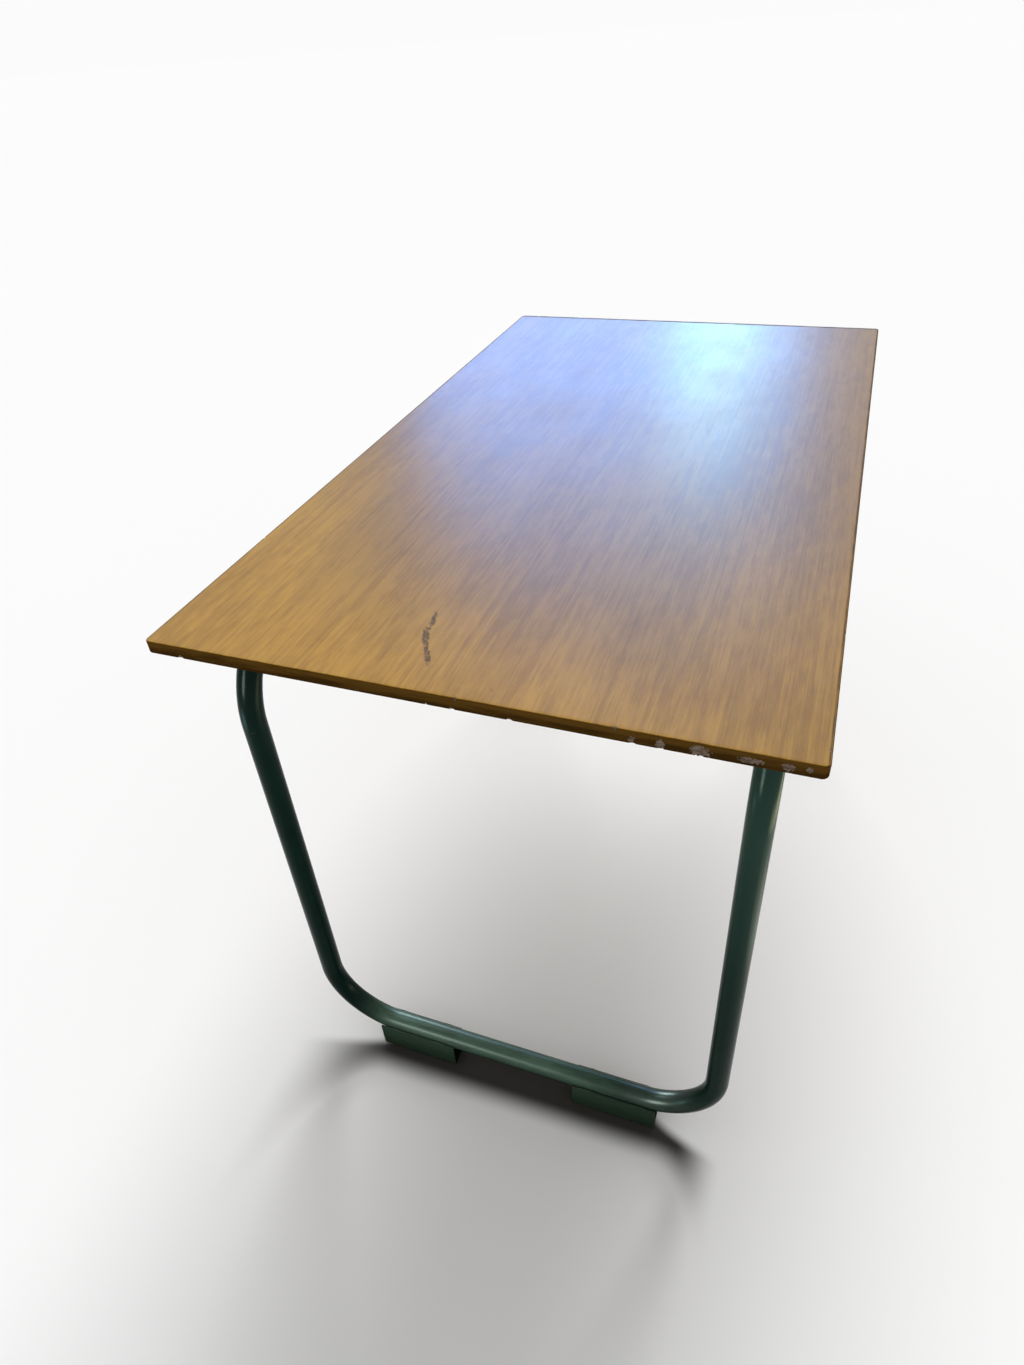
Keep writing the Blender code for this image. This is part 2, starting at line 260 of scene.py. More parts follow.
def bent_tube(bm, start, heading, runs, radius, sides):
    """Feeds a ring along straight runs and around bends, as a tube bender does.

    Each run is a straight length, then the heading after the bend and the bend's radius, if there
    is one.
    """
    place = start.copy()
    ring = ring_in(bm, frame_at(place, heading), radius, sides)
    for length, turned, bend_radius in runs:
        ring = feed(bm, ring, Matrix.Translation(heading * length))
        place += heading * length
        if turned is None:
            continue
        spun = bmesh.ops.spin(bm, geom=ends_of(ring) + ring, cent=place + turned * bend_radius,
                              axis=heading.cross(turned), angle=heading.angle(turned),
                              steps=BEND_STEPS)
        ring = edges_of(spun["geom_last"])
        place += (heading + turned) * bend_radius
        heading = turned


def add_end_frames(finish):
    """One bent tube for each end: rail, knee, leg, heel and floor rail, and back up."""
    rail = LEG_X - KNEE_RADIUS - RAIL_END_X
    leg = RAIL_Z - KNEE_RADIUS - FLOOR_RAIL_Z - HEEL_RADIUS
    floor_rail = 2 * (RAIL_Y - HEEL_RADIUS)
    runs = (
        (rail, -UP, KNEE_RADIUS),
        (leg, ACROSS, HEEL_RADIUS),
        (floor_rail, UP, HEEL_RADIUS),
        (leg, -ALONG, KNEE_RADIUS),
        (rail, None, None),
    )
    start = Vector((RAIL_END_X, -RAIL_Y, RAIL_Z))
    for end, sign in ENDS:
        bm = bmesh.new()
        bent_tube(bm, start, ALONG, runs, TUBE_RADIUS, TUBE_SIDES)
        give_wall(bm, TUBE_WALL)
        if sign < 0:
            turn_about_z(bm, math.pi)
        add_piece(bm, f"{end}_frame_tube", finish, "green_enamel", f"end_frame_{end}")


def saddle_reach(height):
    """How far from the rail's axis its side lies, at a height above or below that axis."""
    return math.sqrt(max(SADDLE_RADIUS**2 - height**2, 0.0))


def add_cross_ties(finish):
    """Tubes from rail to rail, cut to saddle the rails and welded all round."""
    for end, _ in ENDS:
        low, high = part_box(f"cross_tie_{end}")
        middle_x = (low.x + high.x) / 2
        radius = (high.z - low.z) / 2
        start = Vector((middle_x, -RAIL_Y, RAIL_Z))
        bm = bmesh.new()
        bent_tube(bm, start, ACROSS, ((2 * RAIL_Y, None, None),), radius, TIE_SIDES)
        give_wall(bm, TIE_WALL)
        for vert in bm.verts:
            vert.co.y = math.copysign(RAIL_Y - saddle_reach(vert.co.z - RAIL_Z), vert.co.y)
        add_piece(bm, f"{end}_cross_tie_tube", finish, "green_enamel", f"cross_tie_{end}")
        for side, across in SIDES:
            add_tie_weld(f"{end}_{side}_tie_weld", middle_x, across, radius, finish)


def weld_bead(bm, frames, radius, seed, closed):
    """A rippled weld bead along a row of frames. An open bead tapers at its ends."""
    last = len(frames) - 1
    sizes = []
    for step in range(len(frames)):
        ripple = 1 + BEAD_RIPPLE * noise.noise(Vector((step * RIPPLE_PITCH, seed, 0.0)))
        swing = math.pi * (step + TAPER_LEAD) / (last + 2 * TAPER_LEAD)
        taper = 1.0 if closed else math.sin(swing) ** BEAD_TAPER
        sizes.append(radius * ripple * taper)
    if closed:
        sizes[-1] = sizes[0]
    first = ring_in(bm, frames[0], sizes[0], BEAD_SIDES)
    ring = first
    for step in range(last):
        swell = Matrix.Scale(sizes[step + 1] / sizes[step], 4)
        ring = feed(bm, ring, frames[step + 1] @ swell @ frames[step].inverted())
    if closed:
        bmesh.ops.remove_doubles(bm, verts=bm.verts, dist=SEAM_DISTANCE)
    else:
        bmesh.ops.holes_fill(bm, edges=first + ring, sides=0)


def straight_bead(bm, start, heading, length, radius, seed):
    """A weld bead along a straight seam."""
    steps = round(length / BEAD_STEP)
    frames = [frame_at(start + heading * (length * step / steps), heading)
              for step in range(steps + 1)]
    weld_bead(bm, frames, radius, seed, closed=False)


def add_tie_weld(name, tie_x, across, radius, finish):
    """A weld bead all round the end of a cross tie, where it saddles the rail."""
    loop = []
    for step in range(TIE_BEAD_STEPS):
        angle = 2 * math.pi * step / TIE_BEAD_STEPS
        height = radius * math.sin(angle)
        seam_y = across * (RAIL_Y - saddle_reach(height))
        loop.append(Vector((tie_x + radius * math.cos(angle), seam_y, RAIL_Z + height)))
    to_rail = Vector((0, across, 0))
    frames = []
    for step, place in enumerate(loop):
        heading = (loop[(step + 1) % TIE_BEAD_STEPS] - loop[step - 1]).normalized()
        outward = to_rail.cross(heading).normalized()
        turn = Matrix((outward, heading.cross(outward), heading)).transposed().to_4x4()
        frames.append(Matrix.Translation(place) @ turn)
    frames.append(frames[0])
    bm = bmesh.new()
    weld_bead(bm, frames, TIE_BEAD_RADIUS, tie_x * TIE_RIPPLES + across, closed=True)
    add_piece(bm, name, finish, "green_enamel")


def add_shoes(finish):
    """Folded channels that cradle the floor rails, stitch-welded along their walls."""
    for end, _ in ENDS:
        for side, _ in SIDES:
            low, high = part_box(f"foot_shoe_{end}_{side}")
            bm = bmesh.new()
            corners = ((low.x, high.z), (low.x, low.z), (high.x, low.z), (high.x, high.z))
            verts = [bm.verts.new((x, low.y, z)) for x, z in corners]
            edges = [bm.edges.new(pair) for pair in zip(verts, verts[1:])]
            bmesh.ops.spin(bm, geom=verts + edges, cent=ORIGIN, axis=UP, angle=0,
                           dvec=(0, (high.y - low.y) / SHOE_STEPS, 0), steps=SHOE_STEPS)
            round_edges(bm, sharp_edges(bm), SHOE_FOLD, FOLD_STEPS)
            give_wall(bm, SHOE_SHEET)
            ease_edges(bm)
            add_piece(bm, f"{end}_{side}_shoe", finish, "shoe_enamel", f"foot_shoe_{end}_{side}")
            add_shoe_welds(f"{end}_{side}_shoe_welds", low, high, finish)


def add_shoe_welds(name, low, high, finish):
    """Short stitch welds where the shoe's walls meet the floor rail."""
    middle_x = (low.x + high.x) / 2
    middle_y = (low.y + high.y) / 2
    bm = bmesh.new()
    for wall_x in (low.x, high.x):
        inward = math.copysign(SHOE_SHEET / 2, middle_x - wall_x)
        for place in SHOE_BEAD_PLACES:
            start = Vector((wall_x + inward, middle_y + place - SHOE_BEAD_LENGTH / 2, high.z))
            seed = wall_x * SHOE_RIPPLES_ALONG + place * SHOE_RIPPLES_ACROSS
            straight_bead(bm, start, ACROSS, SHOE_BEAD_LENGTH, SHOE_BEAD_RADIUS, seed)
    add_piece(bm, name, finish, "shoe_enamel")


def add_lugs(finish):
    """Plates welded to the insides of the rails, which the screws into the top pass through."""
    for end, _ in ENDS:
        for side, across in SIDES:
            for row in LUG_ROWS:
                node = f"fixing_lug_{end}_{side}_{row}"
                name = f"{end}_{side}_{row}_lug"
                low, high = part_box(node)
                add_piece(lug_plate(low, high, across), name, finish, "green_enamel", node)
                add_piece(lug_weld(low, high, across), f"{name}_weld", finish, "green_enamel")


def lug_plate(low, high, across):
    """A plate cut to saddle the rail, with its two free corners rounded."""
    middle = (low + high) / 2
    size = high - low
    bm = bmesh.new()
    bmesh.ops.create_cube(bm, size=1.0,
                          matrix=Matrix.Translation(middle) @ Matrix.Diagonal((*size, 1.0)))
    at_rail = [vert for vert in bm.verts if vert.co.y * across > middle.y * across]
    for vert in at_rail:
        vert.co.y = across * (RAIL_Y - saddle_reach(vert.co.z - RAIL_Z))
    free_corners = [edge for edge in bm.edges
                    if rise_of(edge) > size.z / 2
                    and not any(vert in at_rail for vert in edge.verts)]
    round_edges(bm, free_corners, LUG_CORNER, CORNER_STEPS)
    ease_edges(bm)
    return bm


def lug_weld(low, high, across):
    """A weld bead under the plate, along its seam with the rail."""
    seam_y = across * (RAIL_Y - saddle_reach(low.z - RAIL_Z))
    start = Vector((low.x, seam_y, low.z))
    bm = bmesh.new()
    straight_bead(bm, start, ALONG, high.x - low.x, LUG_BEAD_RADIUS, low.x * LUG_RIPPLES + across)
    return bm


def add_screws(finish):
    """Screws through the lugs and the spigots, each with its slot left at some angle."""
    corners = [f"{end}_{side}" for end, _ in ENDS for side, _ in SIDES]
    names = [f"lug_screw_{corner}_{row}" for corner in corners for row in LUG_ROWS]
    names += [f"spigot_screw_{corner}" for corner in corners]
    turns = random.Random(SCREW_SEED)
    for name in names:
        low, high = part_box(name)
        bm = bmesh.new()
        screw_shape(bm, (high.x - low.x) / 2, high.z - low.z)
        turn_about_z(bm, turns.uniform(0, math.pi))
        place = ((low.x + high.x) / 2, (low.y + high.y) / 2, low.z)
        bmesh.ops.translate(bm, verts=bm.verts, vec=place)
        add_piece(bm, f"slotted_{name}", finish, "zinc_screw", name)


def screw_shape(bm, head_radius, length):
    """A dome-headed screw that points up from the origin, with a slot across its head."""
    head_height = head_radius * HEAD_HEIGHT_SHARE
    shank_radius = head_radius * SHANK_SHARE
    profile = []
    for step in range(DOME_STEPS + 1):
        angle = math.pi / 2 * step / DOME_STEPS
        profile.append((head_radius * math.sin(angle), head_height * (1 - math.cos(angle))))
    profile.append((shank_radius, head_height))
    profile.append((shank_radius, length - 2 * shank_radius))
    profile.append((0, length))
    verts = [bm.verts.new((radius, 0, height)) for radius, height in profile]
    edges = [bm.edges.new(pair) for pair in zip(verts, verts[1:])]
    bmesh.ops.spin(bm, geom=verts + edges, cent=ORIGIN, axis=UP, angle=2 * math.pi,
                   steps=SCREW_SIDES, use_merge=True)
    bmesh.ops.remove_doubles(bm, verts=bm.verts, dist=MERGE_DISTANCE)
    sink_slot(bm, head_radius * SLOT_HALF_WIDTH_SHARE, head_height)


def sink_slot(bm, half_width, head_height):
    """Cuts the dome along both sides of the slot and sinks what lies between."""
    for offset in (-half_width, half_width):
        bmesh.ops.bisect_plane(bm, geom=bm.verts[:] + bm.edges[:] + bm.faces[:],
                               dist=MERGE_DISTANCE, plane_co=(offset, 0, 0), plane_no=ALONG)
    slot = []
    for face in bm.faces:
        middle = face.calc_center_median()
        if abs(middle.x) < half_width and middle.z < head_height * DOME_SHARE:
            slot.append(face)
    sunk = bmesh.ops.extrude_face_region(bm, geom=slot)["geom"]
    bmesh.ops.delete(bm, geom=slot, context="FACES")
    for vert in verts_of(sunk):
        vert.co.z = max(vert.co.z, head_height * SLOT_DEPTH_SHARE)


def edge_chips(edge_name, half_run, listed):
    """The listed chips of an edge and the small ones strewn along it, each as in NEAR_CHIPS."""
    draws = random.Random(edge_name)
    chips = list(listed)
    for _ in range(round(2 * half_run * SMALL_CHIPS_PER_METRE)):
        place = draws.uniform(-half_run, half_run)
        height = draws.choice(SMALL_CHIP_HEIGHTS)
        half_length = draws.uniform(*SMALL_CHIP_HALF_LENGTH)
        half_height = draws.uniform(*SMALL_CHIP_HALF_HEIGHT)
        chips.append((place, half_length, height, half_height))
    return chips


def chip_amount(chips, along, height):
    """How much of the edge is gone at a place along it and a height on its face, from 0 to 1."""
    spot = Vector((along * CHIP_LUMPS_ALONG, height * CHIP_LUMPS_UP, CHIP_SLICE))
    ragged = CHIP_RAGGED * noise.fractal(spot, *CHIP_FRACTAL)
    amount = 0.0
    for place, half_length, middle, half_height in chips:
        if abs(along - place) > 2 * half_length:
            continue
        reach = math.hypot((along - place) / half_length, (height - middle) / half_height) + ragged
        amount = max(amount, min((CHIP_BRINK - reach) / CHIP_SLOPE, 1.0))
    return amount


def knock_chips(bm, chips, outside):
    """Sinks the chipped places into the outer face and marks them as bare wood."""
    bare = bm.verts.layers.float.new("bare")
    for vert in bm.verts:
        if vert.co.x < outside - 2 * ARRIS_RADIUS:
            continue
        amount = chip_amount(chips, vert.co.y, (vert.co.z - TOP_LOW) / TOP_THICKNESS)
        if amount > 0:
            floor = CHIP_FLOOR + CHIP_FLOOR_UNEVEN * noise.noise(vert.co * CHIP_FLOOR_LUMPS)
            vert.co.x -= CHIP_DEPTH * amount * floor
            vert[bare] = amount


def lipping_section(bm, outside):
    """The lipping's cross-section at y = 0: square inside, with its two outer arrises rounded."""
    inside = outside - LIPPING_DEPTH
    corners = ((inside, TOP_LOW), (outside, TOP_LOW), (outside, TOP_HIGH), (inside, TOP_HIGH))
    verts = [bm.verts.new((x, 0, z)) for x, z in corners]
    bm.faces.new(verts)
    bmesh.ops.bevel(bm, geom=verts[1:3], offset=ARRIS_RADIUS, segments=ARRIS_STEPS,
                    profile=ROUND_PROFILE, affect="VERTICES", material=-1)
    outer_face = [edge for edge in bm.edges
                  if rise_of(edge) > TOP_THICKNESS / 2
                  and edge.verts[0].co.x > outside - LIPPING_DEPTH / 2]
    bmesh.ops.subdivide_edges(bm, edges=outer_face, cuts=FACE_STEPS)
    bmesh.ops.delete(bm, geom=bm.faces[:], context="FACES_ONLY")


def sweep_lipping(bm, outside, straight):
    """Sweeps the section from a mitre round half a corner, along the edge and to the next mitre."""
    start_corner = (outside - CORNER_RADIUS, -straight, 0)
    end_corner = (outside - CORNER_RADIUS, straight, 0)
    bmesh.ops.translate(bm, verts=bm.verts, vec=(0, -straight, 0))
    turn_about_z(bm, -MITRE_ANGLE, start_corner)
    first = bm.edges[:]
    spun = bmesh.ops.spin(bm, geom=bm.verts[:] + first, cent=start_corner, axis=UP,
                          angle=MITRE_ANGLE, steps=CORNER_STEPS)
    section = edges_of(spun["geom_last"])
    section = feed(bm, section, Matrix.Translation((0, 2 * straight, 0)))
    spun = bmesh.ops.spin(bm, geom=ends_of(section) + section, cent=end_corner, axis=UP,
                          angle=MITRE_ANGLE, steps=CORNER_STEPS)
    bmesh.ops.holes_fill(bm, edges=first + edges_of(spun["geom_last"]), sides=0)
    long_edges = [edge for edge in bm.edges if edge.calc_length() > straight]
    bmesh.ops.subdivide_edges(bm, edges=long_edges, cuts=round(2 * straight / LIPPING_STEP))


def add_lippings(finish, top_finish):
    """Four edge lippings, a quarter turn apart, with the varnish of the top on their flat tops."""
    edges = (
        ("near_end", TOP_HALF_LENGTH, TOP_HALF_WIDTH, NEAR_CHIPS),
        ("right_side", TOP_HALF_WIDTH, TOP_HALF_LENGTH, ()),
        ("far_end", TOP_HALF_LENGTH, TOP_HALF_WIDTH, ()),
        ("left_side", TOP_HALF_WIDTH, TOP_HALF_LENGTH, ()),
    )
    for quarter_turns, (name, outside, half_run, listed) in enumerate(edges):
        straight = half_run - CORNER_RADIUS
        bm = bmesh.new()
        lipping_section(bm, outside)
        sweep_lipping(bm, outside, straight)
        knock_chips(bm, edge_chips(name, straight, listed), outside)
        turn_about_z(bm, quarter_turns * math.pi / 2)
        for face in bm.faces:
            lowest = min(vert.co.z for vert in face.verts)
            face.material_index = int(lowest > TOP_HIGH - MERGE_DISTANCE)
        piece = add_piece(bm, f"{name}_edge", finish, "edge_lipping", f"lipping_{name}")
        piece.data.materials.append(top_finish)


class Finish:
    """A material's node tree, with a short call for each kind of node that the finishes use."""

    # Sockets of a Mix node that blends colours
    MIX_INPUTS = (0, 6, 7)
    MIX_OUTPUT = 2

    # Stretch that most noise stays in, and the middle of noise in three directions
    NOISE_STRETCH = (0.3, 0.7)
    NOISE_MIDDLE = (0.5, 0.5, 0.5)

    def __init__(self, name):
        self.material = bpy.data.materials.new(name)
        self.material.use_nodes = True
        self.tree = self.material.node_tree
        self.shader = self.tree.nodes["Principled BSDF"]
        self.place = self.add("ShaderNodeTexCoord").outputs["Object"]
        self.x, self.y, self.z = self.parts(self.place)

    def add(self, kind, inputs=None, **settings):
        node = self.tree.nodes.new(kind)
        for name, value in settings.items():
            setattr(node, name, value)
        for name, value in (inputs or {}).items():
            self.set(node.inputs[name], value)
        return node

    def set(self, socket, value):
        if isinstance(value, bpy.types.NodeSocket):
            self.tree.links.new(value, socket)
        else:
            socket.default_value = value

    def wear(self, **inputs):
        """Sets the shader's own sockets, with underscores for spaces in their names."""
        for name, value in inputs.items():
            self.set(self.shader.inputs[name.replace("_", " ")], value)

    def parts(self, vector):
        """The X, Y and Z of a vector."""
        return self.add("ShaderNodeSeparateXYZ", {"Vector": vector}).outputs

    def mapped(self, scale, place=None, location=ORIGIN, rotation=ORIGIN, kind="POINT"):
        inputs = {"Vector": place or self.place, "Scale": scale}
        inputs.update({"Location": location, "Rotation": rotation})
        return self.add("ShaderNodeMapping", inputs, vector_type=kind).outputs["Vector"]

    def noise(self, scale, detail=2.0, roughness=0.5, shift=0.0, place=None):
        """Noise with so many lumps per metre along X, Y and Z."""
        vector = self.mapped(scale, place, location=(shift, shift, shift))
        inputs = {"Vector": vector, "Scale": 1.0, "Detail": detail, "Roughness": roughness}
        return self.add("ShaderNodeTexNoise", inputs).outputs["Fac"]

    def span(self, value, low, high, bottom=0.0, top=1.0):
        """Runs smoothly from bottom to top as the value goes from low to high."""
        inputs = {"Value": value, "From Min": low, "From Max": high}
        inputs.update({"To Min": bottom, "To Max": top})
        node = self.add("ShaderNodeMapRange", inputs, interpolation_type="SMOOTHSTEP")
        return node.outputs["Result"]

    def vary(self, value, bottom, top):
        """Runs smoothly from bottom to top over the stretch that most noise stays in."""
        return self.span(value, *self.NOISE_STRETCH, bottom, top)

    def patches(self, pattern, span, place=None):
        """A noise pattern, run through a span."""
        return self.span(self.noise(*pattern, place=place), *span)

    def maths(self, operation, first, second=0.0):
        node = self.add("ShaderNodeMath", operation=operation)
        self.set(node.inputs[0], first)
        self.set(node.inputs[1], second)
        return node.outputs["Value"]

    def times(self, first, second):
        return self.maths("MULTIPLY", first, second)

    def plus(self, first, second):
        return self.maths("ADD", first, second)

    def minus(self, first, second):
        return self.maths("SUBTRACT", first, second)

    def most(self, first, second):
        return self.maths("MAXIMUM", first, second)

    def unsigned(self, value):
        return self.maths("ABSOLUTE", value)

    def vector_maths(self, operation, first, second):
        node = self.add("ShaderNodeVectorMath", operation=operation)
        self.set(node.inputs[0], first)
        self.set(node.inputs[1], second)
        return node.outputs["Vector"]

    def blend(self, share, under, over):
        """A colour that goes from under to over as the share goes from 0 to 1."""
        node = self.add("ShaderNodeMix", data_type="RGBA")
        for index, value in zip(self.MIX_INPUTS, (share, under, over)):
            self.set(node.inputs[index], value)
        return node.outputs[self.MIX_OUTPUT]

    def bump(self, height, distance):
        inputs = {"Height": height, "Distance": distance, "Strength": 1.0}
        return self.add("ShaderNodeBump", inputs).outputs["Normal"]

    def attribute(self, name):
        return self.add("ShaderNodeAttribute", attribute_name=name).outputs["Fac"]

    def wander(self, amount, scale):
        """Coordinates that drift sideways a little, so that grain isn't ruled straight."""
        inputs = {"Vector": self.mapped(scale), "Scale": 1.0, "Detail": 2.0}
        drift = self.add("ShaderNodeTexNoise", inputs).outputs["Color"]
        centred = self.vector_maths("SUBTRACT", drift, self.NOISE_MIDDLE)
        sideways = self.vector_maths("MULTIPLY", centred, (0.0, amount, 0.0))
        return self.vector_maths("ADD", self.place, sideways)

    def mark(self, centre, angle, half_length, half_width, ragged):
        """A soft-edged stroke on the top: 1 at its middle, 0 outside it."""
        turn = (0, 0, math.radians(angle))
        inside = self.mapped((half_length, half_width, 1.0), ragged, (*centre, TOP_HIGH), turn,
                             "TEXTURE")
        node = self.add("ShaderNodeTexGradient", {"Vector": inside}, gradient_type="SPHERICAL")
        return node.outputs["Fac"]


# Veneer: dark and pale grain, browner over most of the top, and golden where light is painted in,
# towards the near end and the long sides
BROWN_DARK = (0.202, 0.105, 0.0215, 1.0)
BROWN_PALE = (0.297, 0.163, 0.033, 1.0)
LIT_GOLD_DARK = (0.328, 0.168, 0.022, 1.0)
LIT_GOLD_PALE = (0.472, 0.258, 0.036, 1.0)
PORE_BROWN = (0.110, 0.054, 0.018, 1.0)
VARNISH_GLOSS = 0.38
VARNISH_ROUGHNESS = (0.30, 0.345)
VENEER_RELIEF = 0.00005

# Patterns in the veneer: lumps per metre along X, Y and Z, detail, roughness and shift
TONE = ((1.8, 15.0, 1.0), 3.0)
MOTTLE = ((26.0, 80.0, 1.0), 3.0, 0.6, 4.6)
STREAKS = ((5.5, 210.0, 1.0), 4.0, 0.62, 3.1)
FIBRES = ((30.0, 640.0, 1.0), 3.0, 0.6, 7.7)
PORES = ((75.0, 2300.0, 1.0), 1.0, 0.5, 1.3)
SMUDGES = ((7.0, 9.0, 1.0), 4.0, 0.6, 5.2)
GRAIN_DRIFT = (0.008, (1.6, 4.0, 1.0))

# Shares of the patterns in the figure, which runs from dark to pale over its own span
TONE_SHARE = 0.26
MOTTLE_SHARE = 0.28
STREAK_SHARE = 0.34
FIBRE_SHARE = 0.12
FIGURE_SPAN = (0.40, 0.60)

# Shade and height of the fibres and pores
FIBRE_SHADE = (0.35, 0.70, 0.14, 0.0)
FIBRE_HEIGHT = 0.5
PORE_SPAN = (0.56, 0.70)
PORE_SHADE = 0.16
PORE_DEPTH = 0.6

# Painted light, as golden veneer: places along for the near end, where it leans and is uneven, then
# for each long side places across, places along and share
PAINTED_LIGHT_NEAR_END = (0.36, 0.64)
PAINTED_LIGHT_LEAN = -0.3
PAINTED_LIGHT_UNEVEN = ((3.0, 30.0, 1.0), 3.0, 0.6, 9.4)
PAINTED_LIGHT_UNEVEN_REACH = 0.10
PAINTED_LIGHT_LEFT = ((-0.20, -0.29), (0.0, 0.30), 0.8)
PAINTED_LIGHT_RIGHT = ((0.10, 0.24), (0.12, 0.44), 0.45)


def painted_side_light(finish, across, along, share):
    """Painted light towards one long side, over a stretch of its length."""
    towards_side = finish.span(finish.y, *across, 0.0, share)
    return finish.times(towards_side, finish.span(finish.x, *along))


def painted_veneer_light(finish, grain):
    """How much light is painted into the veneer as gold, from 0 to 1."""
    leaning = finish.plus(finish.x, finish.times(finish.y, PAINTED_LIGHT_LEAN))
    uneven = finish.times(finish.noise(*PAINTED_LIGHT_UNEVEN, place=grain), PAINTED_LIGHT_UNEVEN_REACH)
    near_end = finish.span(finish.plus(leaning, uneven), *PAINTED_LIGHT_NEAR_END)
    near_left = finish.plus(near_end, painted_side_light(finish, *PAINTED_LIGHT_LEFT))
    return finish.most(near_left, painted_side_light(finish, *PAINTED_LIGHT_RIGHT))


def veneer_grain(finish):
    """Straight-grained veneer: its colour, its height and its roughness."""
    grain = finish.wander(*GRAIN_DRIFT)
    tone = finish.times(finish.noise(*TONE, place=grain), TONE_SHARE)
    mottle = finish.times(finish.noise(*MOTTLE, place=grain), MOTTLE_SHARE)
    streaks = finish.times(finish.noise(*STREAKS, place=grain), STREAK_SHARE)
    fibres = finish.noise(*FIBRES, place=grain)
    pores = finish.patches(PORES, PORE_SPAN, grain)
    fine = finish.plus(streaks, finish.times(fibres, FIBRE_SHARE))
    pale = finish.span(finish.plus(finish.plus(tone, mottle), fine), *FIGURE_SPAN)
    brown = finish.blend(pale, BROWN_DARK, BROWN_PALE)
    lit_gold = finish.blend(pale, LIT_GOLD_DARK, LIT_GOLD_PALE)
    # Golden veneer where light is painted in
    colour = finish.blend(painted_veneer_light(finish, grain), brown, lit_gold)
    colour = finish.blend(finish.span(fibres, *FIBRE_SHADE), colour, PORE_BROWN)
    colour = finish.blend(finish.times(pores, PORE_SHADE), colour, PORE_BROWN)
    height = finish.minus(finish.times(fibres, FIBRE_HEIGHT), finish.times(pores, PORE_DEPTH))
    roughness = finish.vary(finish.noise(*SMUDGES), *VARNISH_ROUGHNESS)
    return colour, height, roughness


# Darkening along the rim of the top: where it is full and where it ends, in from the sides and far
# end
RIM_DARK = (0.030, 0.027, 0.023, 1.0)
RIM_SIDE = (0.0016, 0.0032)
RIM_FAR = (0.0045, 0.0085)
RIM_PATCHES = ((30.0, 30.0, 1.0), 3.0, 0.6, 12.3)
RIM_PATCH_SPAN = (0.30, 0.60, 0.45, 0.9)
RIM_DULL = 0.55


def rim_darkening(finish):
    """Darker along the long sides and the far end of the top."""
    from_side = finish.minus(TOP_HALF_WIDTH, finish.unsigned(finish.y))
    from_far = finish.plus(finish.x, TOP_HALF_LENGTH)
    beside = finish.span(from_side, *RIM_SIDE, 1.0, 0.0)
    far = finish.span(from_far, *RIM_FAR, 1.0, 0.0)
    return finish.times(finish.most(beside, far), finish.patches(RIM_PATCHES, RIM_PATCH_SPAN))


# Scrapes in the varnish: centre, angle in degrees, half length, half width and strength
SCRAPES = (
    ((0.4525, -0.0567), 13.0, 0.0180, 0.0034, 1.0),
    ((0.4680, -0.0562), 75.0, 0.0046, 0.0030, 1.0),
    ((0.4830, -0.0511), 25.0, 0.0220, 0.0046, 1.0),
    ((0.5080, -0.0385), 28.0, 0.0220, 0.0038, 1.0),
    ((0.5405, 0.0383), 30.0, 0.0075, 0.0046, 0.25),
)
SCRAPE_BROWN = (0.040, 0.024, 0.016, 1.0)
SCRAPE_DRIFT = (0.006, (160.0, 260.0, 1.0))
SCRAPE_BREAKS = ((220.0, 340.0, 1.0), 3.0, 0.65, 2.4)
SCRAPE_BREAK_SPAN = (0.34, 0.54, 0.35, 1.0)
SCRAPE_SPAN = (0.08, 0.42)
SCRAPE_SHARE = 0.80
SCRAPE_DULL = 0.3
SCRAPE_DEPTH = 2.0


def scraped(finish):
    """Where the varnish is scraped, from 0 to 1."""
    ragged = finish.wander(*SCRAPE_DRIFT)
    strokes = 0.0
    for centre, angle, half_length, half_width, strength in SCRAPES:
        stroke = finish.mark(centre, angle, half_length, half_width, ragged)
        strokes = finish.most(strokes, finish.times(stroke, strength))
    broken = finish.patches(SCRAPE_BREAKS, SCRAPE_BREAK_SPAN)
    return finish.times(finish.span(strokes, *SCRAPE_SPAN), broken)


def face_veneer():
    finish = Finish("face_veneer")
    colour, height, roughness = veneer_grain(finish)
    scrapes = scraped(finish)
    colour = finish.blend(finish.times(scrapes, SCRAPE_SHARE), colour, SCRAPE_BROWN)
    rim = rim_darkening(finish)
    colour = finish.blend(rim, colour, RIM_DARK)
    dull = finish.plus(finish.times(rim, RIM_DULL), finish.times(scrapes, SCRAPE_DULL))
    sunk = finish.minus(height, finish.times(scrapes, SCRAPE_DEPTH))
    finish.wear(Base_Color=colour, Roughness=finish.plus(roughness, dull),
                Normal=finish.bump(sunk, VENEER_RELIEF), Specular_IOR_Level=VARNISH_GLOSS)
    return finish.material


# Edge lipping: dark stain, somewhat worn towards the top, and splintered bare wood in the chips
STAIN_BROWN = (0.040, 0.019, 0.004, 1.0)
STAIN_WORN = (0.098, 0.049, 0.009, 1.0)
BARE_WOOD = (0.240, 0.185, 0.140, 1.0)
BARE_SHADE = (0.090, 0.062, 0.040, 1.0)
STAIN_CLOUDS = ((24.0, 24.0, 240.0), 4.0, 0.6)
STAIN_WORN_SPAN = (0.45, 1.0)
STAIN_ROUGHNESS = (0.38, 0.52)
SPLINTERS = ((160.0, 160.0, 900.0), 3.0, 0.7)
SPLINTER_SPAN = (0.35, 0.65)
UPPER_WEAR = 0.45
ARRIS_WEAR = ((90.0, 90.0, 90.0), 3.0)
ARRIS_WEAR_REACH = 0.0006
ARRIS_BELOW_TOP = 0.0001
ARRIS_ABOVE_TOP = 0.0004
BARE_SPAN = (0.25, 0.6)
BARE_DULL = 0.35
LIPPING_RELIEF = 0.0002
LIPPING_GRAIN = 0.4


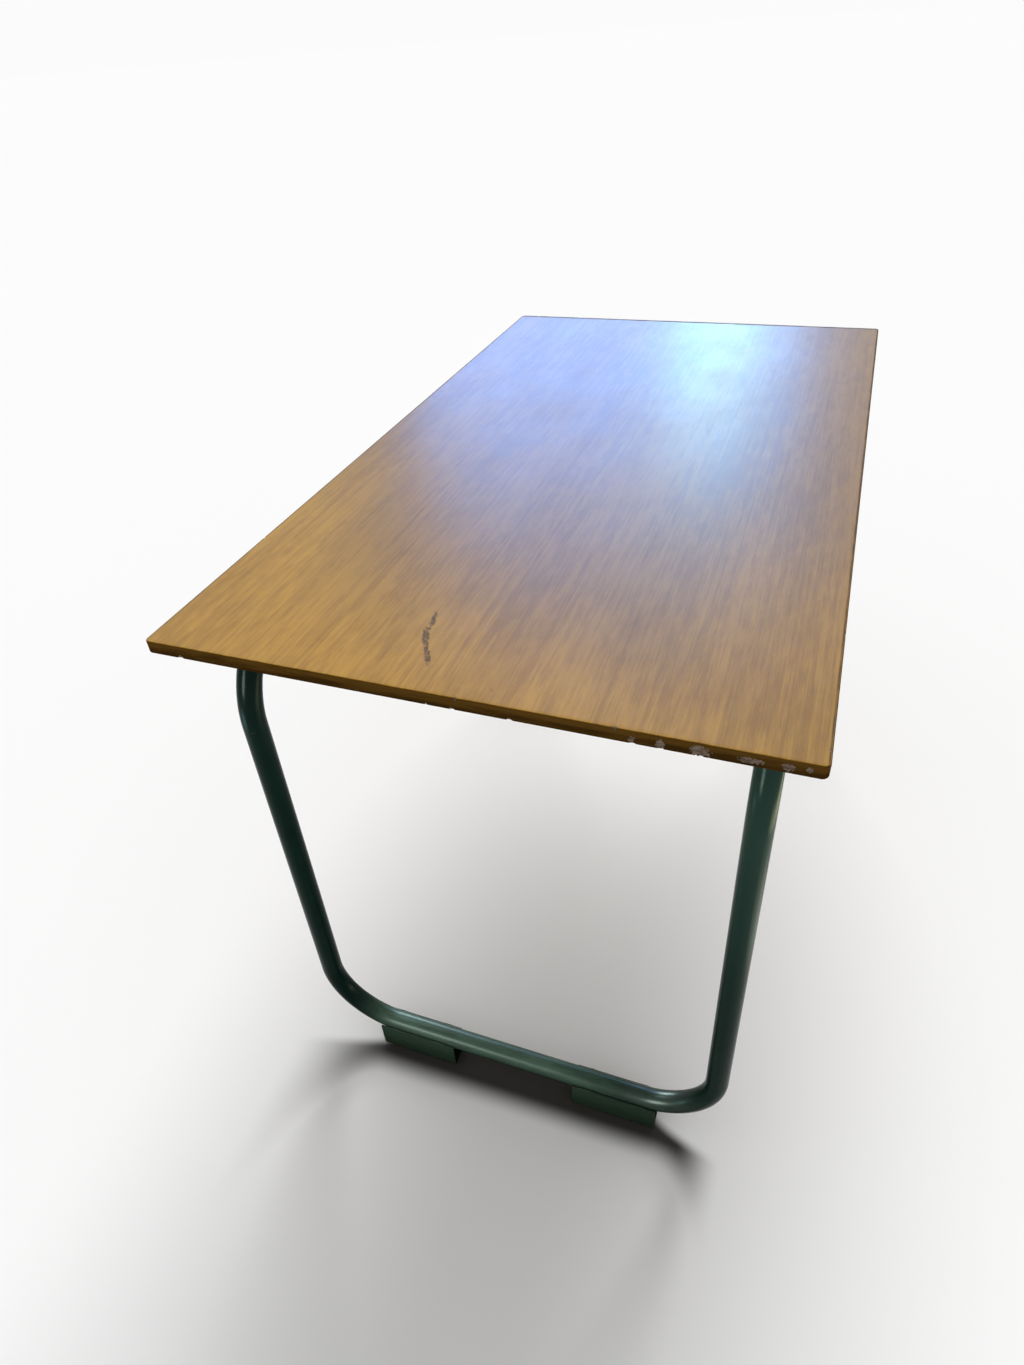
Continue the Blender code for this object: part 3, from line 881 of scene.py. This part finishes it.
def edge_lipping():
    finish = Finish("edge_lipping")
    veneer, height, _ = veneer_grain(finish)
    cloud = finish.noise(*STAIN_CLOUDS)
    upper = finish.span(finish.z, TOP_LOW, TOP_HIGH, 0.0, UPPER_WEAR)
    worn = finish.span(finish.plus(cloud, upper), *STAIN_WORN_SPAN)
    stain = finish.blend(worn, STAIN_BROWN, STAIN_WORN)
    uneven = finish.times(finish.noise(*ARRIS_WEAR), ARRIS_WEAR_REACH)
    on_top = finish.span(finish.plus(finish.z, uneven), TOP_HIGH - ARRIS_BELOW_TOP,
                         TOP_HIGH + ARRIS_ABOVE_TOP)
    colour = finish.blend(on_top, stain, veneer)
    splinters = finish.noise(*SPLINTERS)
    bare = finish.span(finish.attribute("bare"), *BARE_SPAN)
    raw = finish.blend(finish.span(splinters, *SPLINTER_SPAN), BARE_SHADE, BARE_WOOD)
    colour = finish.blend(bare, colour, raw)
    rough = finish.plus(finish.vary(cloud, *STAIN_ROUGHNESS), finish.times(bare, BARE_DULL))
    bumps = finish.plus(finish.times(height, LIPPING_GRAIN), finish.times(splinters, bare))
    finish.wear(Base_Color=colour, Roughness=rough, Normal=finish.bump(bumps, LIPPING_RELIEF),
                Specular_IOR_Level=0.0)
    return finish.material


# Backing veneer under the top: plain and unvarnished, with clouds of grime
BACKING_DARK = (0.23, 0.14, 0.07, 1.0)
BACKING_PALE = (0.42, 0.29, 0.16, 1.0)
BACKING_FIBRE = (0.16, 0.095, 0.05, 1.0)
BACKING_GRIME = (0.10, 0.075, 0.05, 1.0)
BACKING_DRIFT = (0.012, (1.2, 3.0, 1.0))
BACKING_STREAKS = ((1.0, 60.0, 1.0), 5.0, 0.65, 11.0)
BACKING_STREAK_SPAN = (0.3, 0.75)
BACKING_FIBRES = ((9.0, 520.0, 1.0), 3.0, 0.6, 4.0)
BACKING_FIBRE_SHADE = (0.40, 0.70, 0.35, 0.0)
BACKING_CLOUDS = ((5.0, 6.0, 1.0), 4.0, 0.6, 9.0)
BACKING_CLOUD_SPAN = (0.5, 0.8, 0.0, 0.35)
BACKING_ROUGHNESS = (0.62, 0.80)
BACKING_RELIEF = 0.00012


def backing_veneer():
    finish = Finish("backing_veneer")
    grain = finish.wander(*BACKING_DRIFT)
    streaks = finish.patches(BACKING_STREAKS, BACKING_STREAK_SPAN, grain)
    fibres = finish.noise(*BACKING_FIBRES, place=grain)
    grime = finish.patches(BACKING_CLOUDS, BACKING_CLOUD_SPAN)
    colour = finish.blend(streaks, BACKING_DARK, BACKING_PALE)
    colour = finish.blend(finish.span(fibres, *BACKING_FIBRE_SHADE), colour, BACKING_FIBRE)
    colour = finish.blend(grime, colour, BACKING_GRIME)
    finish.wear(Base_Color=colour, Roughness=finish.vary(fibres, *BACKING_ROUGHNESS),
                Normal=finish.bump(fibres, BACKING_RELIEF))
    return finish.material


# Core board, pressed from flakes
CORE_DARK = (0.50, 0.37, 0.22, 1.0)
CORE_PALE = (0.64, 0.52, 0.35, 1.0)
CORE_FLAKES = (220.0, 220.0, 700.0)
CORE_SHADES = ((60.0, 60.0, 300.0), 4.0, 0.6)
CORE_ROUGHNESS = (0.80, 0.92)
CORE_RELIEF = 0.0004


def core_board():
    finish = Finish("core_board")
    inputs = {"Vector": finish.mapped(CORE_FLAKES), "Scale": 1.0}
    flakes = finish.add("ShaderNodeTexVoronoi", inputs).outputs["Distance"]
    shade = finish.noise(*CORE_SHADES)
    colour = finish.blend(shade, CORE_DARK, CORE_PALE)
    finish.wear(Base_Color=colour, Roughness=finish.vary(shade, *CORE_ROUGHNESS),
                Normal=finish.bump(flakes, CORE_RELIEF))
    return finish.material


# Enamel: two close greens, paint dulled by shoes, the primer under it, and steel where that is
# gone;
# light is painted in as a lighter green high on the right legs and on the low rail's faces that
# look up, and shade as near black inside a shoe
GREEN_DEEP = (0.0018, 0.0112, 0.0080, 1.0)
GREEN_FADED = (0.0035, 0.0190, 0.0135, 1.0)
GREEN_RUBBED_AND_LIT = (0.096, 0.171, 0.118, 1.0)
GREEN_LIT_FROM_RIGHT = (0.0200, 0.0510, 0.0380, 1.0)
GREEN_OLIVE = (0.022, 0.042, 0.024, 1.0)
PRIMER_BROWN = (0.050, 0.032, 0.024, 1.0)
BARE_STEEL = (0.200, 0.190, 0.175, 1.0)
FLOOR_DIRT = (0.055, 0.048, 0.036, 1.0)
HOLLOW_SHADE = (0.0040, 0.0065, 0.0040, 1.0)
ENAMEL_GLOSS = 0.05
ENAMEL_ROUGHNESS = 0.22
POLISH_ROUGHNESS = 0.30
ENAMEL_RELIEF = 0.00008

# Patterns in the enamel: lumps per metre along X, Y and Z, detail, roughness and shift
PAINT_CLOUDS = ((7.0, 7.0, 7.0), 4.0, 0.6)
RUB_STREAKS = ((70.0, 14.0, 50.0), 5.0, 0.7)
PAINT_SPECKS = ((150.0, 150.0, 150.0), 3.0, 0.55, 8.0)
PAINT_PATCHES = ((11.0, 11.0, 11.0), 2.0, 0.5, 2.0)
GRIME_SPOTS = ((45.0, 45.0, 70.0), 4.0, 0.65, 6.0)
PAINT_SAGS = ((40.0, 40.0, 25.0), 2.0)

# Spans that the patterns and the chips are run through, their shares, and how far they dull it
FADED_SPAN = (0.35, 0.70)
RUB_SPAN = (0.30, 0.72, 0.55, 1.0)
SPECK_SPAN = (0.69, 0.72)
PATCH_SPAN = (0.56, 0.70)
PATCH_SHARE = 0.8
REACHED_SHARE = 0.3
WORN_SPAN = (0.46, 0.66)
WORN_SHARE = 0.7
PRIMER_SPAN = (0.30, 0.55)
STEEL_SPAN = (0.62, 0.85)
GRIME_SPAN = (0.40, 0.72)
SAG_HEIGHT = 0.8
PAINT_EDGE_SPAN = (0.30, 0.45)
CHIP_DULL = 0.25
GRIME_DULL = 0.3
RUB_DULL = 0.30

# Where the enamel is worn, and where light is painted on it: heights above the floor, places
# across, and how far a face looks up
RIGHT_LIGHT_HEIGHT = (0.25, 0.68)
RUBBED_HEIGHT = (0.125, 0.050)
RUBBED_LEFT = (-0.25, -0.18)
RUB_AND_LIGHT_RIGHT = (0.05, 0.19)
RUB_AND_LIGHT_RIGHT_SHARE = 0.35
# Faces of the low rail that look up are painted lighter, as lit from above
PAINTED_LIGHT_FACING = (-0.35, 0.55)
DIRTY_HEIGHT = (0.016, 0.0)

# Gloss of the rubbed rail: worn off from the middle to the right, and high again on the right heel
GLOSS_WORN_OFF = (0.04, 0.13)
GLOSS_WORN_SHARE = 0.45
HEEL_SHINE = (0.15, 0.18)
HEEL_SHINE_SHARE = 1.6

# Hollow of a shoe, where shade is painted in: how far out from the floor rail's axis, and heights
# at the sole and at the rail
HOLLOW_REACH = (0.0158, 0.0152)
HOLLOW_SOLE = (0.0020, 0.0026)
HOLLOW_ROOF = (FLOOR_RAIL_Z - 0.004, FLOOR_RAIL_Z - 0.008)


def shoe_rub_and_light(finish, rub_and_light):
    """The stretch of the low rail that shoes reach, and how far they have dulled its paint; faces
    there that look up are painted lighter, as light falls on them.
    """
    reached = finish.span(finish.z, *RUBBED_HEIGHT)
    reached = finish.times(reached, finish.span(finish.y, *RUBBED_LEFT))
    facing = finish.parts(finish.add("ShaderNodeNewGeometry").outputs["Normal"])
    # Painted light on faces that look up
    lit_upward = finish.times(finish.span(facing["Z"], *PAINTED_LIGHT_FACING), rub_and_light)
    streaky = finish.patches(RUB_STREAKS, RUB_SPAN)
    rub_and_light_reach = finish.times(reached, finish.span(finish.y, *RUB_AND_LIGHT_RIGHT, 1.0, RUB_AND_LIGHT_RIGHT_SHARE))
    return reached, finish.times(finish.times(streaky, rub_and_light_reach), lit_upward)


def paint_chips(finish, cloud, reached):
    """Chips in the paint: specks in patches and on the low rail, and worn edges."""
    patched = finish.times(finish.patches(PAINT_PATCHES, PATCH_SPAN), PATCH_SHARE)
    likely = finish.plus(patched, finish.times(reached, REACHED_SHARE))
    specks = finish.times(finish.patches(PAINT_SPECKS, SPECK_SPAN), likely)
    worn = finish.times(finish.attribute("worn"), finish.span(cloud, *WORN_SPAN))
    return finish.most(specks, finish.times(worn, WORN_SHARE))


def inside_shoe(finish):
    """The space inside a shoe, under the floor rail, where shade is painted in."""
    off_axis = finish.unsigned(finish.minus(finish.unsigned(finish.x), LEG_X))
    between_walls = finish.span(off_axis, *HOLLOW_REACH)
    above_sole = finish.span(finish.z, *HOLLOW_SOLE)
    under_rail = finish.span(finish.z, *HOLLOW_ROOF)
    return finish.times(finish.times(between_walls, above_sole), under_rail)


def enamel(name, rub_and_light, olive, dirt, polish, hollow_shade):
    """Gloss enamel with light painted high on the right legs, rubbed by shoes on the low rail and
    painted lighter there where it faces up, chipped and dirty.

    The shares say how far the shoe rub and the light painted with it show, how olive and dirty it
    is, how polished where it is rubbed, and how much shade is painted inside a shoe.
    """
    finish = Finish(name)
    cloud = finish.noise(*PAINT_CLOUDS)
    colour = finish.blend(finish.span(cloud, *FADED_SPAN), GREEN_DEEP, GREEN_FADED)
    # Painted light: the right legs lighter high up, as if lit from the right
    right_lit_side = finish.span(finish.y, 0.0, RAIL_Y)
    lit_from_right = finish.times(right_lit_side, finish.span(finish.z, *RIGHT_LIGHT_HEIGHT))
    colour = finish.blend(lit_from_right, colour, GREEN_LIT_FROM_RIGHT)
    colour = finish.blend(olive, colour, GREEN_OLIVE)
    reached, rubbed_and_lit = shoe_rub_and_light(finish, rub_and_light)
    # The low rail dulled by shoes, and painted lighter where it faces up, as lit from above
    colour = finish.blend(rubbed_and_lit, colour, GREEN_RUBBED_AND_LIT)
    chipped = paint_chips(finish, cloud, reached)
    colour = finish.blend(finish.span(chipped, *PRIMER_SPAN), colour, PRIMER_BROWN)
    colour = finish.blend(finish.span(chipped, *STEEL_SPAN), colour, BARE_STEEL)
    grime = finish.times(finish.patches(GRIME_SPOTS, GRIME_SPAN), dirt)
    soiled = finish.times(grime, finish.span(finish.z, *DIRTY_HEIGHT))
    colour = finish.blend(soiled, colour, FLOOR_DIRT)
    # Painted shade inside a shoe
    colour = finish.blend(finish.times(inside_shoe(finish), hollow_shade), colour, HOLLOW_SHADE)
    sags = finish.times(finish.noise(*PAINT_SAGS), SAG_HEIGHT)
    height = finish.minus(sags, finish.span(chipped, *PAINT_EDGE_SPAN))
    dull = finish.plus(finish.times(chipped, CHIP_DULL), finish.times(soiled, GRIME_DULL))
    dull = finish.plus(finish.times(rubbed_and_lit, RUB_DULL), dull)
    rail_gloss = finish.span(finish.y, *GLOSS_WORN_OFF, polish, GLOSS_WORN_SHARE * polish)
    heel_gloss = finish.span(finish.y, *HEEL_SHINE, 0.0, HEEL_SHINE_SHARE * polish)
    glossy = finish.times(reached, finish.plus(rail_gloss, heel_gloss))
    finish.wear(Base_Color=colour, Roughness=finish.plus(dull, ENAMEL_ROUGHNESS),
                Normal=finish.bump(height, ENAMEL_RELIEF), Specular_IOR_Level=ENAMEL_GLOSS,
                Coat_Weight=glossy, Coat_Roughness=POLISH_ROUGHNESS)
    return finish.material


# Bare drawn steel of the spigots, with some rust, and zinc plate of the screws, with some tarnish
STEEL_GREY = (0.42, 0.41, 0.39, 1.0)
STEEL_RUST = (0.22, 0.16, 0.12, 1.0)
STEEL_DRAWN = ((12.0, 900.0, 900.0), 3.0, 0.6)
STEEL_STAINS = ((40.0, 40.0, 40.0), 4.0, 0.6)
RUST_SPAN = (0.45, 0.75)
STEEL_ROUGHNESS = (0.32, 0.52)
STEEL_RELIEF = 0.00005
ZINC_DARK = (0.52, 0.51, 0.47, 1.0)
ZINC_PALE = (0.66, 0.64, 0.58, 1.0)
ZINC_TARNISH = (0.20, 0.15, 0.10, 1.0)
ZINC_CLOUDS = ((700.0, 700.0, 700.0), 3.0, 0.6)
ZINC_STAINS = ((180.0, 180.0, 180.0), 3.0, 0.6, 3.0)
TARNISH_SPAN = (0.55, 0.75, 0.0, 0.6)
ZINC_ROUGHNESS = (0.30, 0.50)
ZINC_RELIEF = 0.00004


def drawn_steel():
    finish = Finish("bare_steel")
    drawn = finish.noise(*STEEL_DRAWN)
    rusty = finish.patches(STEEL_STAINS, RUST_SPAN)
    colour = finish.blend(rusty, STEEL_GREY, STEEL_RUST)
    finish.wear(Base_Color=colour, Metallic=1.0, Roughness=finish.vary(drawn, *STEEL_ROUGHNESS),
                Normal=finish.bump(drawn, STEEL_RELIEF))
    return finish.material


def zinc_plate():
    finish = Finish("zinc_screw")
    cloud = finish.noise(*ZINC_CLOUDS)
    tarnished = finish.patches(ZINC_STAINS, TARNISH_SPAN)
    colour = finish.blend(tarnished, finish.blend(cloud, ZINC_DARK, ZINC_PALE), ZINC_TARNISH)
    finish.wear(Base_Color=colour, Metallic=1.0, Roughness=finish.vary(cloud, *ZINC_ROUGHNESS),
                Normal=finish.bump(cloud, ZINC_RELIEF))
    return finish.material


def dress_cad_nodes(finishes):
    """Gives the CAD nodes that stay in view their finished materials."""
    for node, finish in finishes.items():
        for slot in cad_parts[node].material_slots:
            slot.material = finish


# Floor of the studio
FLOOR_RADIUS = 60.0
FLOOR_SIDES = 96
FLOOR_GREY = (0.922, 0.922, 0.922, 1.0)

# Painted shade on the floor under each floor rail: where it is full and where it is gone, outwards
# from the rail's axis, and then from left to right where it comes up and where it dies away
CONTACT_GREY = (0.050, 0.047, 0.043, 1.0)
CONTACT_FRONT = (0.024, 0.062)
CONTACT_BACK = (-0.010, -0.030)
CONTACT_LEFT_END = (-0.342, -0.185)
CONTACT_RIGHT_END = (0.235, 0.300)

# Curl of that shade: its middle, where its straight ends on each edge, and how fast each edge curls
CONTACT_MIDDLE = 0.010
CONTACT_FRONT_STRAIGHT = 0.195
CONTACT_BACK_STRAIGHT = 0.175
CONTACT_CURL_FRONT = 4.0
CONTACT_TAIL = 12.0
CONTACT_CURL_BACK = 0.165


def contact_shade(finish):
    """Shade close under each floor rail, which curls outwards below the heels and fades there."""
    outward = finish.minus(finish.unsigned(finish.x), LEG_X)
    across = finish.unsigned(finish.minus(finish.y, CONTACT_MIDDLE))
    front_turn = finish.most(finish.minus(across, CONTACT_FRONT_STRAIGHT), 0.0)
    back_turn = finish.most(finish.minus(across, CONTACT_BACK_STRAIGHT), 0.0)
    front_curl = finish.times(front_turn, front_turn)
    back_curl = finish.times(finish.maths("SQRT", back_turn), CONTACT_CURL_BACK)
    full, gone = CONTACT_FRONT
    full_to = finish.plus(finish.times(front_curl, CONTACT_CURL_FRONT), full)
    gone_by = finish.plus(finish.times(front_curl, CONTACT_CURL_FRONT + CONTACT_TAIL), gone)
    before_front = finish.span(outward, full_to, gone_by, 1.0, 0.0)
    past_back = finish.span(finish.minus(outward, back_curl), *CONTACT_BACK, 1.0, 0.0)
    left_end = finish.span(finish.y, *CONTACT_LEFT_END)
    right_end = finish.span(finish.y, *CONTACT_RIGHT_END, 1.0, 0.0)
    between_ends = finish.times(left_end, right_end)
    return finish.times(between_ends, finish.times(before_front, past_back))


def add_floor():
    """A pale floor with painted shade under the floor rails, which belongs to the stage and not to
    the desk.
    """
    bm = bmesh.new()
    bmesh.ops.create_circle(bm, cap_ends=True, segments=FLOOR_SIDES, radius=FLOOR_RADIUS)
    mesh = bpy.data.meshes.new("studio_floor")
    bm.to_mesh(mesh)
    bm.free()
    finish = Finish("studio_floor")
    # Painted shade under the floor rails
    grey = finish.blend(contact_shade(finish), FLOOR_GREY, CONTACT_GREY)
    finish.wear(Base_Color=grey, Roughness=1.0, Specular_IOR_Level=0.0)
    mesh.materials.append(finish.material)
    floor = bpy.data.objects.new("studio_floor", mesh)
    bpy.context.scene.collection.objects.link(floor)


# Light: the backdrop's white, even light all round, and a soft key from above the far end
BACKDROP_WHITE = 0.965
AMBIENT = 0.55
KEY_STRENGTH = 2.1
KEY_HEIGHT_ANGLE = math.radians(49.0)
KEY_TURN = math.radians(4.0)
KEY_SPREAD = math.radians(32.0)
KEY_DISTANCE = 3

# Lit panels that show in gloss alone: place, point faced, width, height, watts and colour
PANELS = {
    "window_blue": ((-2.4, -0.68, 1.55), (0, -0.3, 0.9), 1.60, 0.8, 32.0, (0.10, 0.36, 1.0)),
    "window_upper": ((-2.4, -0.48, 2.25), (0, -0.2, 0.9), 1.7, 0.65, 11.0, (0.10, 0.40, 1.0)),
    "window_bright": ((-2.35, -0.21, 1.40), (0, 0, 0.9), 0.32, 0.40, 3.3, (0.40, 0.92, 0.75)),
    "window_low": ((-2.40, 0.17, 1.20), (0, 0.2, 0.9), 0.22, 0.30, 0.3, (0.12, 0.36, 1.0)),
    "front_left": ((2.23, -0.81, 0.96), (0.5, 0.0, 0.05), 0.60, 0.80, 46.0, (0.78, 1.0, 0.90)),
    "under_left": ((-0.38, -0.60, 0.50), (0.5, -0.19, 0.05), 0.30, 0.42, 18.0, (0.72, 0.97, 1.0)),
    "beside_left": ((0.36, -0.43, 0.66), (0.5, -0.17, 0.05), 0.26, 0.20, 2.0, (0.72, 0.97, 1.0)),
    "low_right": ((0.40, 0.95, 0.02), (0.5, 0.27, 0.5), 0.80, 0.5, 8.0, (1.0, 0.98, 0.55)),
    "low_right_near": ((0.48, 0.60, 0.02), (0.5, 0.27, 0.4), 0.45, 0.25, 0.6, (0.90, 1.0, 0.70)),
    "low_left": ((1.15, -0.93, 0.02), (0.5, -0.27, 0.5), 0.5, 0.5, 4.5, (0.45, 1.0, 1.0)),
}


def set_world():
    """Even white light all round; seen directly, mirrored or through glass, it is the backdrop."""
    world = bpy.data.worlds.new("studio")
    world.use_nodes = True
    nodes = world.node_tree.nodes
    links = world.node_tree.links
    path = nodes.new("ShaderNodeLightPath")
    seen = path.outputs["Is Camera Ray"]
    for kind in ("Is Glossy Ray", "Is Transmission Ray"):
        either = nodes.new("ShaderNodeMath")
        either.operation = "MAXIMUM"
        links.new(seen, either.inputs[0])
        links.new(path.outputs[kind], either.inputs[1])
        seen = either.outputs["Value"]
    strength = nodes.new("ShaderNodeMapRange")
    links.new(seen, strength.inputs["Value"])
    strength.inputs["To Min"].default_value = AMBIENT
    strength.inputs["To Max"].default_value = BACKDROP_WHITE
    background = nodes["Background"]
    background.inputs["Color"].default_value = (1.0, 1.0, 1.0, 1.0)
    links.new(strength.outputs["Result"], background.inputs["Strength"])
    bpy.context.scene.world = world


def add_lamp(name, kind, place, towards, energy):
    data = bpy.data.lights.new(name, kind)
    data.energy = energy
    lamp = bpy.data.objects.new(name, data)
    lamp.location = place
    lamp.rotation_euler = (Vector(towards) - Vector(place)).to_track_quat("-Z", "Y").to_euler()
    bpy.context.scene.collection.objects.link(lamp)
    return lamp


def add_panel(name, place, towards, width, height, watts, colour):
    """A lit panel that shows in gloss alone, as a window does in varnish."""
    lamp = add_lamp(name, "AREA", place, towards, watts)
    lamp.data.color = colour
    lamp.data.shape = "RECTANGLE"
    lamp.data.size = width
    lamp.data.size_y = height
    lamp.visible_diffuse = False
    lamp.visible_camera = False


def light_studio():
    level = math.cos(KEY_HEIGHT_ANGLE)
    from_key = Vector((-level * math.cos(KEY_TURN), -level * math.sin(KEY_TURN),
                       math.sin(KEY_HEIGHT_ANGLE)))
    key = add_lamp("key", "SUN", from_key * KEY_DISTANCE, ORIGIN, KEY_STRENGTH)
    key.data.angle = KEY_SPREAD
    key.visible_glossy = False
    for name, panel in PANELS.items():
        add_panel(name, *panel)


def set_camera():
    data = bpy.data.cameras.new("photograph")
    data.lens = CAMERA_LENS
    data.clip_end = 2 * FLOOR_RADIUS
    camera = bpy.data.objects.new("photograph", data)
    camera.location = CAMERA_PLACE
    camera.rotation_euler = [math.radians(angle) for angle in CAMERA_TURN]
    bpy.context.scene.collection.objects.link(camera)
    bpy.context.scene.camera = camera


def clear_startup_objects():
    for name in STARTUP_OBJECTS:
        if name in bpy.data.objects:
            bpy.data.objects.remove(bpy.data.objects[name])


def build():
    clear_startup_objects()
    green = enamel("green_enamel", rub_and_light=0.9, olive=0.0, dirt=0.2, polish=0.2, hollow_shade=0.0)
    shoe_green = enamel("shoe_enamel", rub_and_light=0.3, olive=0.8, dirt=0.6, polish=0.0, hollow_shade=1.0)
    add_end_frames(green)
    add_cross_ties(green)
    add_shoes(shoe_green)
    add_lugs(green)
    add_screws(zinc_plate())
    varnished = face_veneer()
    add_lippings(edge_lipping(), varnished)
    steel = drawn_steel()
    dress_cad_nodes({
        "top_face_veneer": varnished,
        "top_backing_veneer": backing_veneer(),
        "top_core": core_board(),
        "rail_spigot_left": steel,
        "rail_spigot_right": steel,
    })
    add_floor()
    set_world()
    light_studio()
    set_camera()
    bpy.context.scene.view_settings.view_transform = "Standard"


build()
